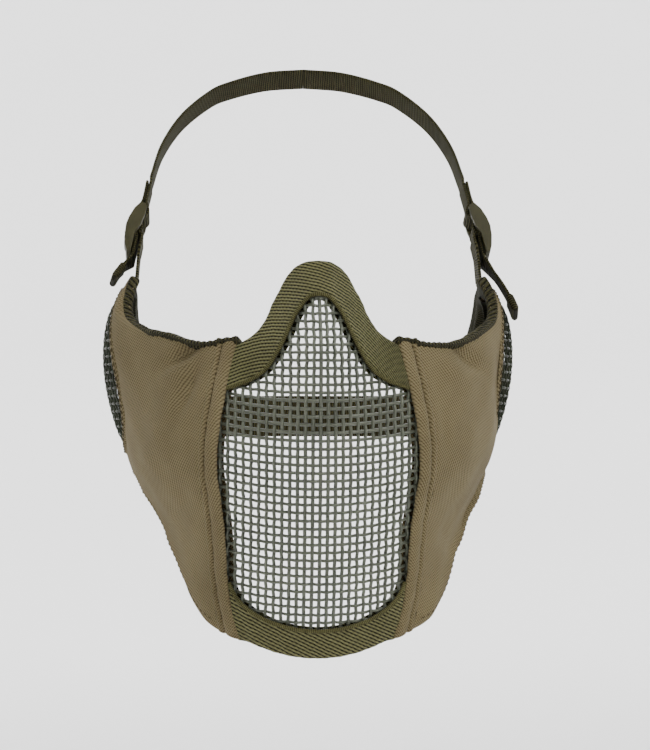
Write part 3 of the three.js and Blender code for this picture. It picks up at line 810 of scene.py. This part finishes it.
def wing_face(side, uu, vv):
    """How far the wing's outer face stands off the skin."""
    angle, z = np.moveaxis(wing_patch(side, uu, vv), -1, 0)
    x = half_width(z) * np.sin(angle)
    spread = np.minimum(uu * WING_LENGTH / 14, 1)
    lumps = 0.18 * np.sin(angle * 19 + z * 0.11) + 0.14 * np.sin(z * 0.23 - angle * 31)
    forward = np.where(np.cos(angle) > 0.15, 1.0, 0.0)
    low_edge = FULL_EDGE[side] * np.exp(-((vv * WING_HEIGHT - 5) / 11) ** 2)
    pucker = 0.28 * np.sin(vv * 104 + 1.5 * np.sin(vv * 31)) * np.exp(-uu * WING_LENGTH / 5)
    folds = low_edge + ear_puff(side, angle, z) + forward * bumps(x, z, DENTS[side])
    return HEM_PROUD - 0.1 + pucker + spread * (lumps + folds)


def build_wing(side):
    u, v = packed(WING_LENGTH), packed(WING_HEIGHT)

    def place(uu, vv):
        return wing_patch(side, uu, vv)

    def high(uu, vv):
        return wing_face(side, uu, vv)

    def low(uu, vv):
        return thinned(uu, vv) - CLOTH_INSIDE

    points, faces, weave = padded_form(place, u, v, high, low, -0.3, wing_edge)
    wing = face_out(make(side + "_wing_pad", mirrored(points, side), faces, TAN, weave))
    cut_ear_hole(wing, side, 1.0)
    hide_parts(side + "_shell", side + "_foam")
    blend_at_fold(wing)


def build_lining(side):
    inset_u, inset_v = 3.0 / WING_LENGTH, 3.0 / WING_HEIGHT
    u = np.linspace(0.004, 1 - inset_u, 60)
    v = np.linspace(inset_v, 0.985, 50)
    uu, vv = np.meshgrid(u, v, indexing="ij")
    angle, z = np.moveaxis(wing_patch(side, uu, vv), -1, 0)
    thin = thinned(uu, vv)
    puff = 0.25 * np.sin(angle * 23 + z * 0.2)
    layers = [off_skin(angle, z, thin - CLOTH_INSIDE - 0.15), off_skin(angle, z, thin - LINING_INSIDE + puff)]
    rows, columns = uu.shape
    n = rows * columns
    faces = np.vstack([grid_faces(rows, columns), grid_faces(rows, columns, first=n)[:, ::-1]]).tolist()
    rim = ([i * columns for i in range(rows)] + [(rows - 1) * columns + j for j in range(1, columns)]
           + [i * columns + columns - 1 for i in range(rows - 2, -1, -1)] + list(range(columns - 2, 0, -1)))
    faces += [[a, b, b + n, a + n] for a, b in zip(rim, rim[1:] + rim[:1])]
    weave = np.stack([angle * 82, z], axis=-1).reshape(-1, 2)
    points = np.vstack([layer.reshape(-1, 3) for layer in layers])
    lining = face_out(make(side + "_knit_lining", mirrored(points, side), faces, LINING,
                           np.vstack([weave, weave])))
    cut_ear_hole(lining, side, 1.04)
    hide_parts(side + "_lining")
    blend_at_fold(lining)
    return lining


def build_binding(side):
    """A knitted band over the top edge of the wing, and its end over the top of the hem."""
    hem_top = np.stack([np.linspace(hem_front[-1][k], seam[-1][k], 12) for k in (0, 1)], axis=1)
    on_hem = knit_band(side + "_knit_binding_end", side, hem_top + (0, 0.9), np.zeros(12))
    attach(on_hem, "front")
    s = np.linspace(0, 1, 170)
    over_wing = knit_band(side + "_knit_binding", side, sample(wing_tops[side], s), s)
    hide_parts(side + "_binding")
    blend_at_fold(over_wing)


def knit_band(name, side, line, s):
    """A band folded over the edge that runs along line. s is its place along the wing's top."""
    turn = np.linspace(0, 2 * math.pi, 20, endpoint=False)
    inner = thinned(s, np.ones_like(s)) - LINING_INSIDE - 0.3
    half_thick = ((HEM_PROUD + 0.35 - inner) / 2)[:, None]
    centre = ((HEM_PROUD + 0.35 + inner) / 2)[:, None]
    flat = np.sign(np.cos(turn)) * np.abs(np.cos(turn)) ** 0.6
    tall = np.sign(np.sin(turn)) * np.abs(np.sin(turn)) ** 0.6
    place = np.arange(len(line))
    height = BINDING_HEIGHT / 2 + 0.3 + 0.3 * np.sin(place * 1.35) + 0.2 * np.sin(place * 0.31 + 2)
    out = centre + half_thick * flat[None, :]
    up = line[:, 1][:, None] - BINDING_HEIGHT / 2 + height[:, None] * tall[None, :]
    points = off_skin(line[:, 0][:, None], up, out)
    columns = len(turn)
    faces = grid_faces(len(line), columns, wrap_columns=True).tolist()
    faces += [list(range(columns)), list(range((len(line) - 1) * columns, len(line) * columns))]
    middle = points.mean(axis=1)
    length = np.concatenate([[0], np.cumsum(np.linalg.norm(np.diff(middle, axis=0), axis=1))])
    weave = np.stack(np.broadcast_arrays(length[:, None], turn[None, :] * 2.6), axis=-1)
    band = face_out(make(name, mirrored(points, side), faces, KNIT, weave))
    return band


# ---- Ear covers ----


def ear_point(side_share, up_share, out):
    z = EAR["z"] + EAR["half_height"] * up_share
    y = EAR["y"] + EAR["half_width"] * side_share + 0 * z
    angle = angle_at_depth(y, z)
    return off_skin(angle, z, out), normal(angle, z)


def build_ear_mesh(side):
    def place(a, b):
        across, up = a / EAR["half_width"], b / EAR["half_height"]
        radius = np.minimum(np.hypot(across, up), 1)
        bulge = EAR["dome"] * (1 - radius**2) ** 0.6
        return ear_point(across, up, 1.3 + bulge)

    def keep(a, b):
        return np.hypot(a / EAR["half_width"], b / EAR["half_height"]) < 1.06

    columns = np.arange(-9, 10) * EAR_PITCH
    rows = np.arange(-10, 11) * EAR_PITCH
    points, faces = woven(place, columns, rows, keep, EAR_WIRES)
    mesh = make(side + "_ear_wire_mesh", mirrored(points, side), faces, EAR_STEEL_SHADED)
    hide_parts(side + "_ear_mesh")
    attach(mesh, side + "_wing")


def ring(name, side, profile, material, count=120, lump=0.0):
    """A closed band round the ear opening. The profile is in shares of the opening and offsets."""
    turn = np.linspace(0, 2 * math.pi, count, endpoint=False)
    profile = np.array(profile, float)
    share, out = profile[:, 0][None, :], profile[:, 1][None, :]
    wave = lump * (np.sin(turn * 9) + 0.6 * np.sin(turn * 23 + 1))[:, None]
    across, up = share * np.cos(turn)[:, None], share * np.sin(turn)[:, None]
    z = EAR["z"] + EAR["half_height"] * up
    angle = angle_at_depth(EAR["y"] + EAR["half_width"] * across, z)
    puff = np.where(out > 1, ear_puff(side, angle, z), 0)
    points, _ = ear_point(across, up, out + wave + puff)
    columns = profile.shape[0]
    faces = grid_faces(count, columns, wrap_rows=True, wrap_columns=True)
    lengths = np.linspace(0, 2 * math.pi * 31, count)
    weave = np.stack(np.broadcast_arrays(lengths[:, None], share * 31), axis=-1)
    return face_out(make(name, mirrored(points, side), faces, material, weave))


def build_ear_rim(side):
    outside = [(0.975, 1.5), (0.98, 2.5), (0.995, 3.1), (1.02, 3.3), (1.06, 3.25), (1.1, 3.1),
               (1.13, 2.7), (1.14, 2.0), (1.1, 1.6), (1.0, 1.4)]
    rim = ring(side + "_ear_welt", side, outside, TAN, lump=0.06)
    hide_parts(side + "_ear_rim")
    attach(rim, side + "_wing")
    wall = [(1.0, 2.3), (0.965, 1.4), (0.955, -1.0), (0.965, -3.4), (1.0, -4.9), (1.05, -5.2),
            (1.09, -4.9), (1.08, -4.5), (1.02, -4.2), (1.0, -3.0), (1.0, 0.0)]
    facing = ring(side + "_ear_facing", side, wall, LINING, lump=0.05)
    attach(facing, side + "_wing")


# ---- Ladder locks, webbing and straps ----

LOCK_UP = LOCK_UP / np.linalg.norm(LOCK_UP)
LOCK_OUT = np.array([1.0, 0, 0]) - LOCK_UP * LOCK_UP[0]
LOCK_OUT = LOCK_OUT / np.linalg.norm(LOCK_OUT)
LOCK_ACROSS = np.cross(LOCK_OUT, LOCK_UP)


def at_lock(out, up):
    return LOCK_PLACE + LOCK_OUT * out + LOCK_UP * up


def arc(centre, radius, start, end, count):
    turn = np.radians(np.linspace(start, end, count))
    return [(centre[0] + radius * math.cos(t), centre[1] + radius * math.sin(t)) for t in turn]


def build_webbing(name, line, across, width, thick, side):
    points, faces, weave = webbing_mesh(line, across, width, thick)
    return face_out(make(name, mirrored(points, side), faces, WEBBING, weave))


def build_lock(side):
    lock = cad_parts[side + "_lock"]
    lock.data.materials.clear()
    lock.data.materials.append(PLASTIC)
    bevel = lock.modifiers.new("edges", "BEVEL")
    bevel.width = 0.0003
    bevel.segments = 2
    bevel.limit_method = "ANGLE"
    bevel.angle_limit = math.radians(35)


def build_temple_web(side):
    angle = math.radians(TEMPLE_WEB_DEG)
    top = wing_tops[side]
    z = top[np.argmin(np.abs(top[:, 0] - angle)), 1]
    start = off_skin(angle, z - 1.0, (HEM_PROUD - LINING_INSIDE) / 2)
    behind = [(-2.6, -20.5), (-2.4, -15.5), (-2.1, -11.6)]
    under = [(0.4, -12.1), (-0.15, -13.6), (-0.15, -18), (-0.15, -22.9)]
    inside_lock = behind + arc(MIDDLE_BAR, MIDDLE_RADIUS, 250, -20, 14) + under
    line = spline([start] + [at_lock(*p) for p in inside_lock], 90)
    web = build_webbing(side + "_temple_webbing", line, LOCK_ACROSS, WEB_WIDTH, WEB_THICK, side)
    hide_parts(side + "_temple_web")
    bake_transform(web)


def build_tail(side):
    length, swing = TAILS[side]
    turn = math.radians(swing)
    bend = np.array([-0.15, -22.8])
    direction = np.array([math.sin(turn), -math.cos(turn)])
    side_way = np.array([math.cos(turn), math.sin(turn)])
    runs = np.linspace(0, length, 40)
    bow = 0.5 * np.sin(math.pi * runs / length) - 0.08 * length * (runs / length) ** 3
    flat = [bend + direction * r + side_way * b for r, b in zip(runs, bow)]
    line = even(np.array([at_lock(*p) for p in flat]), 60)
    distance = np.linspace(0, length, 60)
    fold = np.clip((distance - (length - TAIL_FOLD)) / 0.8, 0, 1)
    fold = fold * fold * (3 - 2 * fold)
    end = rounding(length - distance + 0.05, 1.4)
    thick = (WEB_THICK + (3.2 - WEB_THICK) * fold) * (0.35 + 0.65 * end)
    turned = np.clip(distance / 9, 0, 1)[:, None]
    across = LOCK_ACROSS * (1 - turned) + np.array([0, -1.0, 0.06]) * turned
    tail = build_webbing(side + "_strap_tail", line, across, WEB_WIDTH, thick, side)
    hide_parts(side + "_tail")
    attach(tail, side + "_tail")


def build_head_strap(side):
    ply = (0.35 + WEB_THICK) / 2
    loop = [(ply, 15), (ply, 5)] + arc((0, 0), TOP_RADIUS, 25, -205, 14) + [(-ply, 5), (-ply, 12), (-ply, 15)]
    loop_line = np.array([at_lock(*p) for p in loop])
    line = spline(np.vstack([loop_line, np.array(HEAD_STRAP)]), 260)
    share = np.clip((np.arange(260) / 259 - 0.32) / 0.6, 0, 1)[:, None]
    across = LOCK_ACROSS * (1 - share) + np.array([0, -0.86, 0.51]) * share
    strap = build_webbing(side + "_head_strap_half", line, across, WEB_WIDTH, WEB_THICK, side)
    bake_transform(strap)
    return strap


def build_neck_strap(side):
    sewn = [off_skin(math.radians(deg), NECK_Z, HEM_PROUD + 1.4) for deg in np.linspace(*NECK_DEG, 3)]
    run = [(x, y, NECK_Z) for x, y in NECK_RUN]
    line = spline(np.vstack([sewn, run]), 160)
    lean = np.linspace(0.14, 0, 160)
    across = np.stack([lean, 0 * lean, 1 + 0 * lean], axis=1)
    strap = build_webbing(side + "_neck_strap_half", line, across, 20, 1.4, side)
    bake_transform(strap)
    return strap


# ---- Stitching ----


def on_skin(line, out):
    """A row's points and normals, from a line of [angle, z]."""
    return off_skin(line[:, 0], line[:, 1], out), normal(line[:, 0], line[:, 1])


def box_rows(middle, run, across, up, length, width):
    """The four sides and two diagonals of a box stitch."""
    corners = [middle + run * a * length / 2 + across * b * width / 2
               for a, b in ((-1, -1), (1, -1), (1, 1), (-1, 1))]
    pairs = [(0, 1), (1, 2), (2, 3), (3, 0), (0, 2), (1, 3)]
    s = np.linspace(0, 1, 12)[:, None]
    return [(corners[i] * (1 - s) + corners[k] * s, np.broadcast_to(up, (12, 3))) for i, k in pairs]


def build_stitches(side):
    s = np.linspace(0.015, 0.985, 260)
    hem = sample(hem_front, s) * (1 - 0.74) + sample(seam, s) * 0.74
    row = sew(side + "_hem_stitches", side, [on_skin(hem, 1.5)], TAN_THREAD, radius=0.2, length=1.7)
    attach(row, "front")

    lower = np.linspace(0.03, 0.965, 260), np.full(260, 4.2 / WING_HEIGHT)
    rear = np.full(200, 1 - 4.2 / WING_LENGTH), np.linspace(0.05, 0.94, 200)
    rows = [on_skin(wing_patch(side, u, v), wing_face(side, u, v) + 0.1) for u, v in (lower, rear)]
    edge = sew(side + "_wing_stitches", side, rows, TAN_THREAD, radius=0.17)
    blend_at_fold(edge)

    turn = np.linspace(0, 2 * math.pi, 300)
    rows = []
    for share in (1.035, 1.105):
        z = EAR["z"] + EAR["half_height"] * share * np.sin(turn)
        angle = angle_at_depth(EAR["y"] + EAR["half_width"] * share * np.cos(turn), z)
        rows.append(on_skin(np.stack([angle, z], axis=1), 3.28 + ear_puff(side, angle, z)))
    ear = sew(side + "_ear_stitches", side, rows, TAN_THREAD)
    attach(ear, side + "_wing")

    angle = math.radians(NECK_DEG[0] + 3)
    place, up = off_skin(angle, NECK_Z, HEM_PROUD + 2.15), normal(angle, np.array(float(NECK_Z)))
    run = off_skin(angle + 0.01, NECK_Z, 0.0) - off_skin(angle - 0.01, NECK_Z, 0.0)
    run /= np.linalg.norm(run)
    box = sew(side + "_neck_box_stitch", side, box_rows(place, run, np.cross(up, run), up, 9, 16), OLIVE_THREAD,
              length=1.9, gap=0.5)
    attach(box, side + "_wing")


# ---- Grip ridges on the lip of each lock ----


def build_grips(side):
    lines, ups = [], []
    for out, up in ((5.5, -9.2), (5.5, -11.4), (5.25, -13.6), (4.85, -15.8)):
        s = np.linspace(-1, 1, 7)
        sink = 0.5 * (np.abs(s) ** 6)
        lines.append(np.array([at_lock(out - d, up) + LOCK_ACROSS * 7.2 * a for a, d in zip(s, sink)]))
        ups.append(np.broadcast_to(LOCK_OUT, (7, 3)))
    points, faces = tubes(lines, ups, [0.5] * 4, sides=10)
    grips = make(side + "_lock_grips", mirrored(points, side), faces, PLASTIC)
    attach(grips, side + "_lock")


# ---- Studio ----


def build_studio():
    stage_material = bpy.data.materials.new("studio_floor")
    stage_material.use_nodes = True
    shader = stage_material.node_tree.nodes["Principled BSDF"]
    shader.inputs["Base Color"].default_value = (0.86, 0.86, 0.86, 1)
    shader.inputs["Roughness"].default_value = 0.9
    rings = [(0.0, -0.3), (2.4, -0.3), (2.9, -0.22), (3.25, 0.05), (3.4, 0.5), (3.4, 3.2)]
    turn = np.linspace(0, 2 * math.pi, 64, endpoint=False)
    points = np.vstack([np.stack([r * np.cos(turn), r * np.sin(turn), np.full_like(turn, z)], axis=1)
                        for r, z in rings]) * 1000
    floor = make("studio_floor", points, grid_faces(len(rings), 64, wrap_columns=True), stage_material)

    def area(name, place, target, size, power, colour=(1, 1, 1)):
        data = bpy.data.lights.new(name, "AREA")
        data.shape = "RECTANGLE"
        data.size, data.size_y = size
        data.energy = power
        data.color = colour
        lamp = bpy.data.objects.new(name, data)
        bpy.context.collection.objects.link(lamp)
        lamp.location = place
        lamp.rotation_euler = (Vector(target) - Vector(place)).to_track_quat("-Z", "Y").to_euler()

    area("key", (0.8, -1.3, 1.7), (0, 0, 0), (0.9, 0.9), 32)
    area("fill", (-1.4, -1.3, 0.5), (0, 0, 0), (1.0, 1.0), 4.5)
    area("top", (0, 0.1, 1.8), (0, 0, 0), (1.2, 1.2), 8)
    area("rear", (-0.3, 1.6, 0.9), (0, 0, 0), (1.4, 1.0), 4)
    for x in (-1.5, 1.5):
        area("backdrop", (x, 1.7, 2.0), (0.4 * x, 3.4, 0.1), (1.6, 1.6), 80)
    world = bpy.data.worlds.new("studio")
    bpy.context.scene.world = world
    world.use_nodes = True
    world.node_tree.nodes["Background"].inputs[0].default_value = (1, 1, 1, 1)
    world.node_tree.nodes["Background"].inputs[1].default_value = 0.3

    data = bpy.data.cameras.new("camera")
    data.sensor_fit = "VERTICAL"
    data.sensor_height = 36
    data.lens = 135.65
    camera = bpy.data.objects.new("camera", data)
    bpy.context.collection.objects.link(camera)
    target = Vector((0.0078, 0, -0.0037))
    turn = math.radians(-3)
    camera.location = target + 1.3 * Vector((math.sin(turn), -math.cos(turn), 0))
    camera.rotation_euler = (target - camera.location).to_track_quat("-Z", "Y").to_euler()
    bpy.context.scene.camera = camera


build_front_mesh()
build_tapes()
for side in ("left", "right"):
    build_hem(side)
    build_wing(side)
    build_lining(side)
    build_binding(side)
    build_ear_mesh(side)
    build_ear_rim(side)
    build_lock(side)
    build_temple_web(side)
    build_tail(side)
head = [build_head_strap(side) for side in ("left", "right")]
neck = [build_neck_strap(side) for side in ("left", "right")]
for half in head:
    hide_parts("head_strap")
for half in neck:
    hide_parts("neck_strap")
for side in ("left", "right"):
    build_stitches(side)
    build_grips(side)
build_studio()
